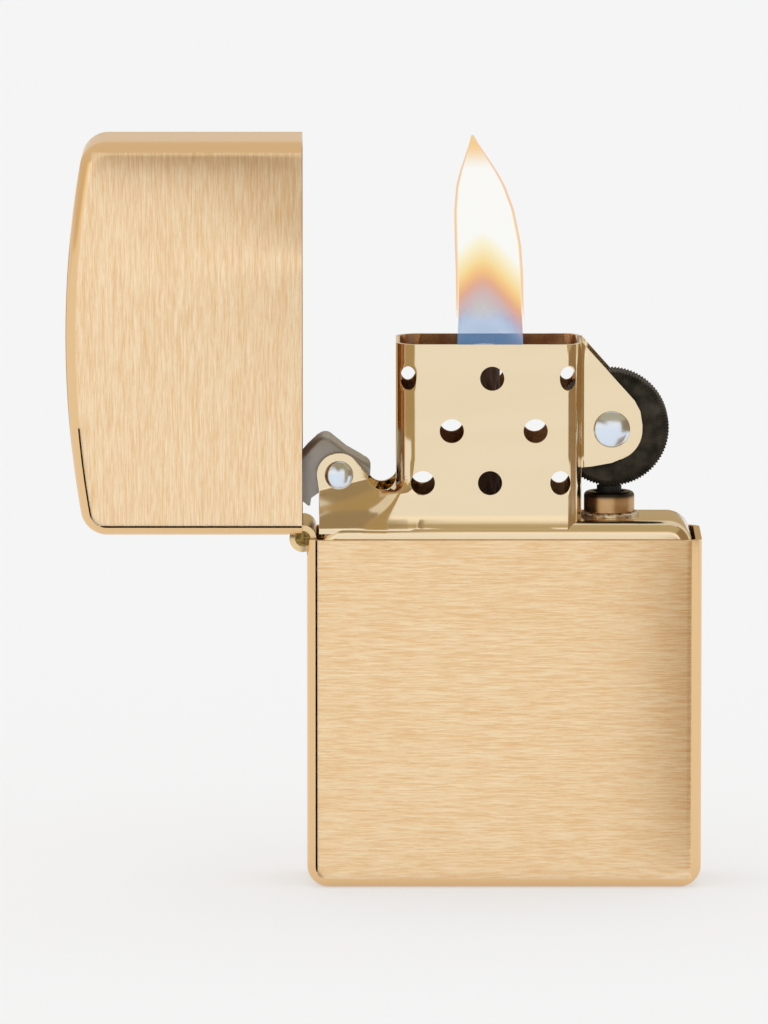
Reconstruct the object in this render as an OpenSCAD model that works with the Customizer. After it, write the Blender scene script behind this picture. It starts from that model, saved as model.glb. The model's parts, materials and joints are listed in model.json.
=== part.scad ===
// Flip-top windproof petrol lighter, shown with its lid open.
// Millimetres. Origin: centre of the case's bottom face. +X right, +Y back, +Z up.

/* [Case] */
// Width of the case and the lid
case_w = 38.2; // [36:0.1:40]
// Depth of the case and the lid, front to back
case_d = 12.8; // [12.4:0.1:14]
// Height of the lower case, from its bottom face to its rim
base_h = 34.0; // [33:0.1:36]
// Height of the lid, from its rim to the top of its crown
lid_h = 22.9; // [22.5:0.1:24]
// Thickness of the case's sheet brass
wall = 0.6; // [0.5:0.05:0.7]
// Radius of the case's upright edges
edge_r = 1.6; // [1.2:0.1:2]
// Radius of the case's bottom corners, seen from the front
foot_r = 2.1; // [1.5:0.1:2.5]
// Radius of the crown, the lid's gently curved top
crown_r = 100; // [90:5:150]
// Gap between the case's rim and the lid's rim when shut
rim_gap = 0.07; // [0.05:0.01:0.15]

/* [Hinge] */
// How far the hinge axis stands outside the case's left wall
hinge_out = 0.4; // [0.3:0.05:0.5]
// Outer radius of the five knuckles
knuckle_r = 1.3; // [1.2:0.05:1.35]
// Radius of the hinge pin
pin_r = 0.75; // [0.6:0.05:0.8]
// Length of the row of knuckles
hinge_len = 10.0; // [9:0.5:10.5]
// Angle between the shut lid and the open lid, as drawn
lid_open = 90; // [0:5:110]

/* [Insert] */
// Thickness of the insert's sheet brass
sheet = 0.4; // [0.3:0.05:0.5]
// Depth of the tank, front to back
tank_d = 11.0; // [10.8:0.1:11.2]
// Height of the tank's shelf
shelf_z = 35.7; // [35:0.1:36]
// Radius of the tank's shoulders, seen from the front
shoulder_r = 2.4; // [1.5:0.1:2.6]
// Depth of the chimney, front to back
chimney_d = 10.4; // [10:0.1:10.8]
// Height of the chimney's rim
chimney_z = 52.9; // [51:0.1:54]
// Radius of the chimney's vent holes
vent_r = 1.17; // [1:0.05:1.3]

/* [Striker] */
// Radius of the toothed striker wheel over its teeth
wheel_r = 5.6; // [5.3:0.1:5.7]
// Width of the striker wheel
wheel_w = 5.2; // [4.8:0.1:5.4]
// Number of teeth on the wheel
wheel_teeth = 90; // [48:6:120]
// Radius of the flint
flint_r = 1.2; // [1:0.05:1.25]
// Travel of the flint against its spring as it is pressed down
flint_travel = 1.5; // [1:0.1:2]

/* [Hidden] */

$fn = 64;
eps = 0.01;
tall = 200;

// The case, its hollow and the hinge axis
half_w = case_w / 2;
half_d = case_d / 2;
in_w = half_w - wall;
in_d = half_d - wall;
hinge_x = -half_w - hinge_out;
lid_z = base_h + rim_gap;
lid_top = base_h + lid_h;
notch_half = hinge_len / 2 + 0.3;
notch_h = 1.5;

// Hinge leaves and knuckles
leaf_t = 0.3;
leaf_x = -in_w;
leaf_half = 4.75;
base_leaf_h = 6.5;
lid_leaf_h = 3.3;
knuckle_gap = 0.1;
knuckle_pitch = hinge_len / 5;
pin_clear = 0.05;

// The insert's tank and chimney
tank_l = -17.9;
tank_r = 18.2;
tank_z = 1.35;
tank_edge = 1.5;
chimney_l = -10.5;
chimney_r = 7.3;
chimney_edge = 2.4;
chimney_half = chimney_d / 2;
vents = [[-9.3, 49.6], [-1.2, 49.6], [6.1, 49.6], [-5.1, 44.5], [3.0, 44.5],
         [-7.9, 39.45], [-1.4, 39.45], [5.4, 39.45]];

// Striker wheel and its bracket ears
wheel_x = 10.35;
wheel_z = 44.4;
wheel_bore = 1.05;
wheel_pin = 1.0;
ear_in = 2.9;
ear_out = 3.3;

// Cam lever and its bracket ears
cam_x = -16.0;
cam_z = 40.0;
cam_bore = 0.75;
cam_pin = 0.7;
cam_half = 2.8;
cam_sheet = 0.5;
cam_ear_in = 3.0;
cam_ear_out = 3.4;
cam_ear_r = 2.15;

// Flint tube, its screw and what it holds
tube_x = 10.2;
tube_r = 1.95;
tube_bore = 1.35;
tube_low = 2.05;
collar_r = 2.45;
collar_top = 38.1;
flint_top = wheel_z - wheel_r - 0.15;
flint_len = 4.6;
tip_len = 2.0;
screw_r = 1.3;
screw_top = 9.0;
spring_low = screw_top + 0.1;
spring_high = flint_top - flint_len - tip_len - 0.1;

// Wick and felt
wick_x = -1.9;
wick_r = 1.5;
wick_top = 52.3;
felt_low = 1.7;
felt_high = 4.0;

brushed = [0.80, 0.66, 0.40];
polished = [0.86, 0.70, 0.38];
dark_steel = [0.22, 0.21, 0.21];
grey_steel = [0.55, 0.54, 0.53];
bronze = [0.62, 0.46, 0.24];
silver = [0.80, 0.79, 0.76];
cotton = [0.95, 0.94, 0.91];
felt_grey = [0.70, 0.68, 0.64];

// ---- Outlines and helpers ----

// A rectangle from low to high with corners of radius r
module rounded_rect(low, high, r) {
    translate([low.x + r, low.y]) square([high.x - low.x - 2 * r, high.y - low.y]);
    translate([low.x, low.y + r]) square([high.x - low.x, high.y - low.y - 2 * r]);
    for (x = [low.x + r, high.x - r], y = [low.y + r, high.y - r])
        translate([x, y]) circle(r);
}

// Extrude an outline drawn in X and Z along Y, from y0 to y1
module along_y(y0, y1) {
    translate([0, y1, 0]) rotate([90, 0, 0]) linear_extrude(y1 - y0) children();
}

// Extrude an outline drawn in Y and Z along X, from x0 to x1
module along_x(x0, x1) {
    translate([x0, 0, 0]) rotate([90, 0, 90]) linear_extrude(x1 - x0) children();
}

// A round pin or bore along Y
module pin_y(x, z, r, y0, y1) {
    translate([x, y1, z]) rotate([90, 0, 0]) cylinder(r = r, h = y1 - y0);
}

// A box from low to high
module block(low, high) {
    translate(low) cube(high - low);
}

// Turn the shut lid about the hinge to the open position
module opened() {
    translate([hinge_x, 0, base_h]) rotate([0, -lid_open, 0])
        translate([-hinge_x, 0, -base_h]) children();
}

// ---- The case ----

// The solid shape of the lower case, made smaller all round by inset
module case_body(inset) {
    w = half_w - inset;
    d = half_d - inset;
    intersection() {
        along_y(-d, d) rounded_rect([-w, inset], [w, tall], foot_r - inset);
        translate([0, 0, inset]) linear_extrude(tall)
            rounded_rect([-w, -d], [w, d], edge_r - inset);
        along_x(-w, w) rounded_rect([-d, inset], [d, tall], 1.2 - inset / 2);
    }
}

module hinge_notch(z0, z1) {
    block([-half_w - 1, -notch_half, z0], [-in_w + eps, notch_half, z1]);
}

module base_shell() {
    color(brushed) difference() {
        case_body(0);
        case_body(wall);
        block([-tall, -tall, base_h], [tall, tall, 3 * tall]);
        hinge_notch(base_h - notch_h, tall);
    }
}

// The solid shape of the shut lid, made smaller all round by inset
module lid_body(inset) {
    w = half_w - inset;
    d = half_d - inset;
    top = lid_top - inset;
    intersection() {
        along_y(-d, d) intersection() {
            rounded_rect([-w, 0], [w, top], foot_r - inset);
            translate([0, top - crown_r]) circle(crown_r, $fn = 256);
        }
        linear_extrude(tall) rounded_rect([-w, -d], [w, d], edge_r - inset);
        along_x(-w, w) rounded_rect([-d, 0], [d, top], 1.2 - inset / 2);
    }
}

module lid_shell() {
    color(brushed) opened() difference() {
        lid_body(0);
        lid_body(wall);
        block([-tall, -tall, -tall], [tall, tall, lid_z]);
        hinge_notch(0, base_h + notch_h);
    }
}

// ---- The hinge ----

// One leaf from z0 to z1, with knuckles at the given places along the row,
// and the strips from z2 that join them to the leaf
module hinge_leaf(z0, z1, z2, places, bore) {
    difference() {
        union() {
            block([leaf_x, -leaf_half, z0], [leaf_x + leaf_t, leaf_half, z1]);
            for (i = places) {
                y0 = -hinge_len / 2 + i * knuckle_pitch + knuckle_gap / 2;
                y1 = y0 + knuckle_pitch - knuckle_gap;
                pin_y(hinge_x, base_h, knuckle_r, y0, y1);
                block([leaf_x, y0, min(z2, base_h)], [leaf_x + leaf_t, y1, max(z2, base_h)]);
            }
        }
        pin_y(hinge_x, base_h, bore, -tall, tall);
    }
}

module base_hinge_leaf() {
    color(polished) hinge_leaf(base_h - base_leaf_h, base_h - notch_h,
                               base_h - notch_h - eps, [0, 2, 4], pin_r);
}

module lid_hinge_leaf() {
    color(polished) opened() hinge_leaf(base_h + notch_h, base_h + lid_leaf_h,
                                        base_h + notch_h + eps, [1, 3], pin_r + pin_clear);
}

module hinge_pin() {
    color(bronze) pin_y(hinge_x, base_h, pin_r, -hinge_len / 2, hinge_len / 2);
}

// ---- The insert ----

// The tank's outer shape, made smaller all round by inset
module tank_body(inset) {
    low = [tank_l + inset, -tank_d / 2 + inset];
    high = [tank_r - inset, tank_d / 2 - inset];
    top = shelf_z - inset;
    intersection() {
        translate([0, 0, tank_z]) linear_extrude(tall)
            rounded_rect(low, high, tank_edge - inset);
        along_y(low.y, high.y)
            rounded_rect([low.x, -10], [high.x, top], shoulder_r - inset);
        along_x(low.x, high.x)
            rounded_rect([low.y, -10], [high.y, top], 0.9 - inset / 2);
    }
}

// The chimney's outline from above, made smaller all round by inset
module chimney_outline(inset) {
    rounded_rect([chimney_l + inset, -chimney_half + inset],
                 [chimney_r - inset, chimney_half - inset], chimney_edge - inset);
}

// Side view of an ear that holds the wheel's rivet
module wheel_ear_outline() {
    translate([wheel_x, wheel_z]) circle(3.0);
    polygon([[5.6, 40.9], [7.6, 40.9], [10.6, 41.4], [12.6, 42.4], [13.3, 44.9],
             [12.8, 47.0], [7.5, chimney_z - 0.1], [5.6, chimney_z - 0.1]]);
}

// Side view of an ear that holds the cam's rivet
module cam_ear_outline() {
    translate([cam_x, cam_z]) circle(cam_ear_r);
    difference() {
        polygon([[-17.9, shelf_z - 0.6], [-17.9, 38.6], [cam_x - cam_ear_r, cam_z],
                 [cam_x, cam_z + 1.8], [-14.2, 41.1], [-13.0, 39.6], [-10.3, 39.6],
                 [-9.6, 39.6], [-9.6, shelf_z - 0.6]]);
        translate([-11.8, 40.0]) circle(1.4);
    }
}

module insert_shell() {
    color(polished) difference() {
        union() {
            difference() {
                tank_body(0);
                difference() {
                    tank_body(sheet);
                    translate([0, 0, shelf_z - sheet]) linear_extrude(tall) chimney_outline(0);
                }
                block([-tall, -tall, -tall], [tall, tall, tank_z]);
            }
            translate([0, 0, shelf_z - sheet]) linear_extrude(chimney_z - shelf_z + sheet)
                chimney_outline(0);
            for (side = [0, 1]) mirror([0, side, 0]) {
                along_y(ear_in, ear_out) wheel_ear_outline();
                along_y(cam_ear_in, cam_ear_out) cam_ear_outline();
            }
        }
        // The tank's hollow and the chimney's hollow
        intersection() {
            tank_body(sheet);
            block([-tall, -tall, -tall], [tall, tall, shelf_z - sheet]);
        }
        translate([0, 0, shelf_z - 1]) linear_extrude(tall) chimney_outline(sheet);
        // The window in the chimney's end, where the wheel turns
        block([chimney_r - chimney_edge, -ear_in, 38.2], [chimney_r + 1, ear_in, tall]);
        // The seat of the flint tube
        translate([tube_x, 0, 0]) cylinder(r = tube_r, h = tall);
        // The slot in the shelf, where the cam's spring comes through
        block([-18.5, -2.1, 32.8], [-14.4, 2.1, 37]);
        // The vents and the rivet holes
        for (v = vents) pin_y(v.x, v.y, vent_r, -tall, tall);
        pin_y(wheel_x, wheel_z, wheel_pin, -tall, tall);
        pin_y(cam_x, cam_z, cam_pin, -tall, tall);
    }
}

module wick_plate() {
    color(polished) translate([0, 0, shelf_z - sheet]) difference() {
        linear_extrude(sheet) chimney_outline(sheet);
        translate([wick_x, 0, -1]) cylinder(r = wick_r + 0.05, h = 3);
    }
}

module flint_tube() {
    color(bronze) translate([tube_x, 0, 0]) difference() {
        union() {
            translate([0, 0, tube_low]) cylinder(r = tube_r, h = shelf_z - tube_low);
            translate([0, 0, shelf_z]) cylinder(r = collar_r, h = collar_top - shelf_z - 0.5);
            translate([0, 0, collar_top - 0.5]) cylinder(r1 = collar_r, r2 = collar_r - 0.5, h = 0.5);
        }
        cylinder(r = tube_bore, h = tall);
    }
}

module flint_tube_ring() {
    color(silver) translate([tube_x, 0, shelf_z]) difference() {
        cylinder(r1 = 2.85, r2 = 2.65, h = 0.5);
        translate([0, 0, -1]) cylinder(r = collar_r, h = 3);
    }
}

module wick() {
    color(cotton) translate([wick_x, 0, 8]) difference() {
        cylinder(r = wick_r, h = wick_top - 8);
        translate([0, 0, -1]) cylinder(r = 0.2, h = tall);
    }
}

module wick_wire() {
    color(bronze) translate([wick_x, 0, 8]) cylinder(r = 0.2, h = wick_top - 8 - 0.2);
}

// Six soft balls of packing, two columns of three beside the wick
module packing_balls() {
    for (i = [0:2]) color(cotton) {
        translate([-11.7, 0, 9.1 + 9.9 * i]) sphere(4.85);
        translate([3.8, 0, 8.5 + 8.9 * i]) sphere(4.1);
    }
}

module felt_pad() {
    color(felt_grey) difference() {
        translate([0, 0, felt_low]) linear_extrude(felt_high - felt_low)
            rounded_rect([tank_l + sheet + 0.05, -tank_d / 2 + sheet + 0.05],
                         [tank_r - sheet - 0.05, tank_d / 2 - sheet - 0.05], 1.0);
        translate([tube_x, 0, 0]) cylinder(r = 2.6, h = tall);
    }
}

// A leaf spring inside the tank's left wall, with its free end under the cam
module cam_spring() {
    x = tank_l + sheet;
    color(grey_steel) difference() {
        along_y(-1.8, 1.8) polygon([[x, 24], [x + 0.3, 24], [x + 0.3, 34.9], [-15.35, 36.5],
            [-14.6, 36.5], [-14.6, 36.8], [-15.5, 36.8], [x, 35.1]]);
        for (z = [26, 29]) translate([x - 1, 0, z]) rotate([0, 90, 0]) cylinder(r = 0.6, h = 3);
    }
}

module cam_spring_rivets() {
    x = tank_l + sheet;
    for (z = [26, 29]) color(silver) translate([x, 0, z]) rotate([0, 90, 0]) {
        cylinder(r = 0.6, h = 0.3);
        translate([0, 0, 0.3]) cylinder(r1 = 1.0, r2 = 0.7, h = 0.4);
    }
}

// A rivet across two ears: a shank and a low head at each end
module rivet(x, z, shank, head, ear) {
    pin_y(x, z, shank, -ear - eps, ear + eps);
    for (side = [0, 1]) mirror([0, side, 0]) translate([x, -ear, z]) rotate([90, 0, 0]) {
        cylinder(r = head, h = 0.25);
        translate([0, 0, 0.25]) cylinder(r1 = head, r2 = head * 0.55, h = 0.3);
    }
}

module cam_rivet() {
    color(silver) rivet(cam_x, cam_z, cam_pin, 1.4, cam_ear_out);
}

module wheel_rivet() {
    color(silver) rivet(wheel_x, wheel_z, wheel_pin, 1.78, ear_out);
}

// ---- The moving pieces ----

// Side view of the cam, about its pivot
module cam_outline() {
    polygon([[-4.45, -0.3], [-3.9, 1.5], [-3.0, 2.5], [-1.9, 3.5], [-1.35, 3.65], [-0.7, 3.4],
             [0.7, 2.3], [2.4, 1.3], [3.0, 0.1], [2.4, -0.9], [0.6, -1.2], [-2.0, -1.8],
             [-2.76, -2.35], [-3.0, -3.05], [-3.5, -2.7], [-4.3, -2.0]]);
}

// The band along the cam's top edge that joins its two side plates
module cam_web_outline() {
    polygon([[-3.9, 1.5], [-3.0, 2.5], [-1.9, 3.5], [-1.35, 3.65], [-0.7, 3.4], [0.7, 2.3],
             [0.45, 1.9], [-0.9, 2.95], [-1.4, 3.1], [-1.7, 3.0], [-2.7, 2.1], [-3.5, 1.2]]);
}

module cam_lever() {
    color(grey_steel) translate([cam_x, 0, cam_z]) difference() {
        union() {
            for (side = [0, 1]) mirror([0, side, 0])
                along_y(cam_half - cam_sheet, cam_half) cam_outline();
            along_y(-cam_half, cam_half) cam_web_outline();
        }
        pin_y(0, 0, cam_bore, -tall, tall);
    }
}

// The wheel's toothed outline: tip and root points alternate round it
module wheel_outline() {
    polygon([for (i = [0:2 * wheel_teeth - 1])
        let (r = i % 2 == 0 ? wheel_r : wheel_r - 0.25, a = i * 180 / wheel_teeth)
        r * [cos(a), sin(a)]]);
}

module striker_wheel() {
    half = wheel_w / 2;
    color(dark_steel) translate([wheel_x, 0, wheel_z]) difference() {
        union() {
            along_y(-half + 0.5, half - 0.5) wheel_outline();
            pin_y(0, 0, wheel_r - 0.5, -half, half);
        }
        pin_y(0, 0, wheel_bore, -tall, tall);
    }
}

module flint_screw() {
    color(polished) translate([tube_x, 0, 0]) difference() {
        union() {
            translate([0, 0, tube_low - 1.05]) cylinder(r = 2.3, h = 1.0);
            translate([0, 0, tube_low - 0.1]) cylinder(r = screw_r, h = screw_top - tube_low + 0.1);
        }
        block([-3, -0.35, 0], [3, 0.35, tube_low - 0.6]);
    }
}

module flint() {
    color(dark_steel) translate([tube_x, 0, flint_top - flint_len])
        cylinder(r = flint_r, h = flint_len);
}

module flint_spring_tip() {
    color(silver) translate([tube_x, 0, flint_top - flint_len - tip_len]) {
        translate([0, 0, tip_len - 0.6]) cylinder(r = flint_r, h = 0.6);
        cylinder(r = 0.6, h = tip_len - 0.5);
    }
}

// The coil, swept as rings of points along a helix
module flint_spring() {
    coil_r = 0.95;
    wire_r = 0.2;
    turns = 12;
    steps = 10;
    sides = 5;
    n = turns * steps;
    rise = (spring_high - spring_low - 2 * wire_r) / n;
    pts = [for (i = [0:n], j = [0:sides - 1])
        let (a = i * 360 / steps, b = j * 360 / sides, r = coil_r + wire_r * cos(b))
        [r * cos(a), r * sin(a), spring_low + wire_r + i * rise + wire_r * sin(b)]];
    skin = [for (i = [0:n - 1], j = [0:sides - 1])
        let (k = (j + 1) % sides)
        [i * sides + j, i * sides + k, (i + 1) * sides + k, (i + 1) * sides + j]];
    low_cap = [for (j = [sides - 1:-1:0]) j];
    high_cap = [for (j = [0:sides - 1]) n * sides + j];
    color(silver) translate([tube_x, 0, 0])
        polyhedron(pts, concat(skin, [low_cap, high_cap]));
}

base_shell();
base_hinge_leaf();
hinge_pin();
lid_shell();
lid_hinge_leaf();
insert_shell();
wick_plate();
flint_tube();
flint_tube_ring();
wick();
wick_wire();
packing_balls();
felt_pad();
cam_spring();
cam_spring_rivets();
cam_rivet();
wheel_rivet();
cam_lever();
striker_wheel();
flint_screw();
flint();
flint_spring_tip();
flint_spring();
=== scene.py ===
# A flip-top windproof petrol lighter in brushed and polished brass, standing open and lit.
# Metres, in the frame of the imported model: X to the right, Y to the back, Z up.
import json
import math

import bmesh
import bpy
from mathutils import Matrix, Vector, noise

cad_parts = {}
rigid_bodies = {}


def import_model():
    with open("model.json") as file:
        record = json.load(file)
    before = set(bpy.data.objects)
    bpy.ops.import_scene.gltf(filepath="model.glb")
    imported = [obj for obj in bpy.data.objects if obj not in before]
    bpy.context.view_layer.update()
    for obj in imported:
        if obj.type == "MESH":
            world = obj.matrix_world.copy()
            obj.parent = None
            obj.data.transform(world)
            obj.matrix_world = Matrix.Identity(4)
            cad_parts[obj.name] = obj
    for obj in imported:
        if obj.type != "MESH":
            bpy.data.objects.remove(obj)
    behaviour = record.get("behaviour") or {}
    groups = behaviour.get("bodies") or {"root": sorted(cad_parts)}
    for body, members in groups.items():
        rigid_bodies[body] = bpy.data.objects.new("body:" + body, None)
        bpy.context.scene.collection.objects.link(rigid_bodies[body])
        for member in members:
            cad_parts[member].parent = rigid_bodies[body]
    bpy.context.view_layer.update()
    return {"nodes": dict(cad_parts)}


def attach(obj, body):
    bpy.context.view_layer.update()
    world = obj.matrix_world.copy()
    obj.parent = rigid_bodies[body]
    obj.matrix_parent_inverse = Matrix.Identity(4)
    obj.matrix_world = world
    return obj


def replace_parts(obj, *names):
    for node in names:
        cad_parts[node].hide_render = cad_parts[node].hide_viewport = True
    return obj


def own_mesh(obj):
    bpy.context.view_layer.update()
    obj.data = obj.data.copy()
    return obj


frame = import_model()
MM = 0.001

# ---- The camera ----
# A long lens a little above the lighter, looking at its front. The lens is as long as it takes for
# the picture to be view_height tall at the lighter.
camera_data = bpy.data.cameras.new("camera")
camera = bpy.data.objects.new("camera", camera_data)
bpy.context.scene.collection.objects.link(camera)
bpy.context.scene.camera = camera
camera_rise = math.radians(7.0)
camera_away = 1.2
view_height = 99.42 * MM
camera_data.lens = 36 * camera_away / view_height
camera_data.clip_start = 0.05
camera_data.clip_end = 20
aim = Vector((-11.65 * MM, 0, 36.0 * MM))
back = Vector((0, -math.cos(camera_rise), math.sin(camera_rise)))
camera.location = aim + back * camera_away
camera.rotation_euler = (math.pi / 2 - camera_rise, 0, 0)

# ---- The case bottom ----
# A deep-drawn cup of brass sheet. Its front and back are brushed from side to side with belts,
# and its rounded edges and narrow sides are polished.
case_w, case_d, base_h, wall = 38.2, 12.8, 34.0, 0.6
half_w, half_d = case_w / 2, case_d / 2
foot_r, edge_r = 2.1, 1.5
hinge_out, notch_half, notch_h = 0.4, 5.3, 1.5
hinge_x = -half_w - hinge_out
# Two places nearer than this, in millimetres, are taken as one
close = 0.01


def only(obj):
    """Selects one object and nothing else."""
    for other in bpy.context.view_layer.objects:
        other.select_set(False)
    obj.select_set(True)
    bpy.context.view_layer.objects.active = obj


def settle(obj):
    """Puts the object's place, turn and scale into its mesh."""
    only(obj)
    bpy.ops.object.transform_apply(location=True, rotation=True, scale=True)


def block(name, low, high):
    """A box between two corners given in millimetres, with its place in its mesh."""
    low, high = Vector(low) * MM, Vector(high) * MM
    bpy.ops.mesh.primitive_cube_add(size=1, location=(low + high) / 2)
    obj = bpy.context.object
    obj.name = name
    obj.scale = high - low
    settle(obj)
    return obj


def bevel_edges(obj, chosen, radius, segments=8):
    """Rounds the edges whose two ends, in millimetres, pass the test."""
    only(obj)
    bpy.ops.object.mode_set(mode="EDIT")
    bpy.ops.mesh.select_mode(type="EDGE")
    bpy.ops.mesh.select_all(action="DESELECT")
    mesh = bmesh.from_edit_mesh(obj.data)
    for edge in mesh.edges:
        edge.select_set(chosen(edge.verts[0].co / MM, edge.verts[1].co / MM))
    bmesh.update_edit_mesh(obj.data)
    bpy.ops.mesh.bevel(offset=radius * MM, segments=segments, profile=0.5, clamp_overlap=False)
    bpy.ops.object.mode_set(mode="OBJECT")


def on_side(a, b, half):
    """Whether an edge from a to b lies in the front or the back face of a shape this deep."""
    return abs(abs(a.y) - half) < close and abs(a.y - b.y) < close


def drop_faces(obj, chosen):
    """Deletes the faces whose middle, in millimetres, and normal pass the test."""
    only(obj)
    bpy.ops.object.mode_set(mode="EDIT")
    bpy.ops.mesh.select_mode(type="FACE")
    bpy.ops.mesh.select_all(action="DESELECT")
    mesh = bmesh.from_edit_mesh(obj.data)
    for face in mesh.faces:
        face.select_set(chosen(face.calc_center_median() / MM, face.normal))
    bmesh.update_edit_mesh(obj.data)
    bpy.ops.mesh.delete(type="FACE")
    bpy.ops.object.mode_set(mode="OBJECT")


def use(obj, kind, **settings):
    """Adds a modifier with these settings and applies it."""
    only(obj)
    modifier = obj.modifiers.new(kind.lower(), kind)
    for key, value in settings.items():
        setattr(modifier, key, value)
    bpy.ops.object.modifier_apply(modifier=modifier.name)


def cut_with(obj, *cutters, operation="DIFFERENCE"):
    """Cuts the object with closed shapes, which are then thrown away."""
    for cutter in cutters:
        use(obj, "BOOLEAN", operation=operation, object=cutter, solver="EXACT")
        bpy.data.objects.remove(cutter)


def smooth(obj, angle=35):
    """Shades the object smooth, with a crease where faces meet at more than the angle."""
    only(obj)
    bpy.ops.object.shade_smooth_by_angle(angle=math.radians(angle))


base = block("case_bottom", (-half_w, -half_d, 0), (half_w, half_d, base_h))
bevel_edges(base, lambda a, b: a.z < 0.1 and b.z < 0.1 and a.y * b.y < 0, foot_r, 12)
bevel_edges(base, lambda a, b: on_side(a, b, half_d) and min(a.z, b.z) < base_h - close, edge_r, 10)
drop_faces(base, lambda c, n: c.z > base_h - close)
use(base, "SOLIDIFY", thickness=wall * MM, offset=-1, use_even_offset=True)
notch_low = (-half_w - 1, -notch_half, base_h - notch_h)
cut_with(base, block("notch", notch_low, (-half_w + 1, notch_half, base_h + 6)))
smooth(base)
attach(base, "base")
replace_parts(base, "base_shell")

band_gold = (0.86, 0.58, 0.305, 1)


def add_node(tree, kind, settings=None, inputs=None):
    """Adds a shader node: first its settings, then the values or links of its sockets."""
    made = tree.nodes.new(kind)
    for key, value in (settings or {}).items():
        if key == "stops":
            ramp = made.color_ramp
            while len(ramp.elements) < len(value):
                ramp.elements.new(0.5)
            for element, (position, colour) in zip(ramp.elements, value):
                element.position = position
                element.color = (*colour, 1)
        else:
            setattr(made, key, value)
    for key, value in (inputs or {}).items():
        if isinstance(value, Number):
            value = value.socket
        if isinstance(value, bpy.types.NodeSocket):
            tree.links.new(value, made.inputs[key])
        else:
            made.inputs[key].default_value = value
    return made


class Number:
    """A number socket of a shader that takes part in arithmetic."""

    def __init__(self, tree, socket):
        self.tree = tree
        self.socket = socket

    def maths(self, operation, *others):
        inputs = dict(enumerate((self, *others)))
        made = add_node(self.tree, "ShaderNodeMath", {"operation": operation}, inputs)
        return Number(self.tree, made.outputs[0])

    def __add__(self, other):
        return self.maths("ADD", other)

    __radd__ = __add__

    def __mul__(self, other):
        return self.maths("MULTIPLY", other)

    __rmul__ = __mul__

    def __sub__(self, other):
        return self.maths("SUBTRACT", other)

    def __rsub__(self, other):
        return (self * -1) + other

    def __truediv__(self, other):
        return self.maths("DIVIDE", other)

    def __abs__(self):
        return self.maths("ABSOLUTE")

    def high_of(self, other):
        return self.maths("MAXIMUM", other)

    def step(self, start, stop):
        """0 at start, 1 at stop, and smooth between them."""
        settings = {"interpolation_type": "SMOOTHSTEP"}
        inputs = {"Value": self, "From Min": start, "From Max": stop, "To Min": 0.0, "To Max": 1.0}
        made = add_node(self.tree, "ShaderNodeMapRange", settings, inputs)
        return Number(self.tree, made.outputs[0])


class Finish:
    """One material. What its nodes work out is fed to the sockets of its shader."""

    def __init__(self, name, **shader_values):
        self.material = bpy.data.materials.new(name)
        self.material.use_nodes = True
        self.tree = self.material.node_tree
        self.shader = self.tree.nodes["Principled BSDF"]
        for key, value in shader_values.items():
            self.shader.inputs[key.replace("_", " ")].default_value = value
        self.place = self.node("ShaderNodeTexCoord").outputs["Object"]

    def node(self, kind, settings=None, inputs=None):
        return add_node(self.tree, kind, settings, inputs)

    def axis(self, name):
        """The place along X, Y or Z in millimetres."""
        split = self.node("ShaderNodeSeparateXYZ", inputs={"Vector": self.place})
        return Number(self.tree, split.outputs[name]) * 1000.0

    def noise(self, scale, detail=2.0, roughness=0.5, distortion=0.0):
        """Noise from 0 to 1 whose scale on X, Y and Z is in cycles a metre."""
        grid = self.node("ShaderNodeMapping", inputs={"Vector": self.place, "Scale": scale})
        inputs = {
            "Vector": grid.outputs[0],
            "Scale": 1.0,
            "Detail": detail,
            "Roughness": roughness,
            "Distortion": distortion,
        }
        return Number(self.tree, self.node("ShaderNodeTexNoise", inputs=inputs).outputs["Fac"])

    def mix(self, factor, first, second):
        """A colour between two colours, or colour sockets."""
        inputs = {"Factor": factor, 6: first, 7: second}
        return self.node("ShaderNodeMix", {"data_type": "RGBA"}, inputs).outputs[2]

    def bump(self, height, distance, strength):
        """A normal that a height, over a distance in metres, tilts with this strength."""
        inputs = {"Height": height, "Distance": distance, "Strength": strength}
        return self.node("ShaderNodeBump", inputs=inputs).outputs["Normal"]

    def feed(self, socket, value):
        """Links a number, a colour or a normal to a socket of the shader."""
        if isinstance(value, Number):
            value = value.socket
        self.tree.links.new(value, self.shader.inputs[socket])

    def coat(self, obj):
        """Gives the whole object this finish."""
        obj.data.materials.clear()
        obj.data.materials.append(self.material)


def edge_band(across, low, high, width):
    """1 on the face and 0 on the band of that width inside the limits low and high."""
    start, stop = width - 0.05, width + 0.05
    return (across - low).step(start, stop) * (high - across).step(start, stop)


def brushed_brass(name, grain, dark, pale, face):
    """Satin brass brushed along X or along Z between two colours, with polished bands round the
    edges. face is a function that gives 1 on the brushed face and 0 on the bands."""
    finish = Finish(name, Metallic=1.0)
    fine = (480, 3000, 8500) if grain == "X" else (8500, 3000, 480)
    long = (230, 1500, 4600) if grain == "X" else (4600, 1500, 230)
    streak = finish.noise(fine, detail=3.0, roughness=0.75, distortion=0.25)
    sweep = finish.noise(long, detail=4.0, roughness=0.6, distortion=0.3)
    tone = (streak * 0.62 + sweep * 0.38).step(0.34, 0.66)
    outside = abs(finish.axis("Y")).step(half_d - wall + 0.05, half_d - wall + 0.1)
    on_face = face(finish) * outside
    finish.feed("Base Color", finish.mix(on_face, band_gold, finish.mix(tone, dark, pale)))
    finish.feed("Roughness", 0.07 + on_face * (streak * 0.2 + 0.2) + (1 - outside) * 0.16)
    finish.feed("Normal", finish.bump(streak * on_face, 0.00002, 0.5))
    return finish


def case_face(finish):
    """1 on the case's brushed face, between its two sides and above its foot."""
    return edge_band(finish.axis("X"), -half_w, half_w, 1.0) * finish.axis("Z").step(0.85, 1.05)


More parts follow.
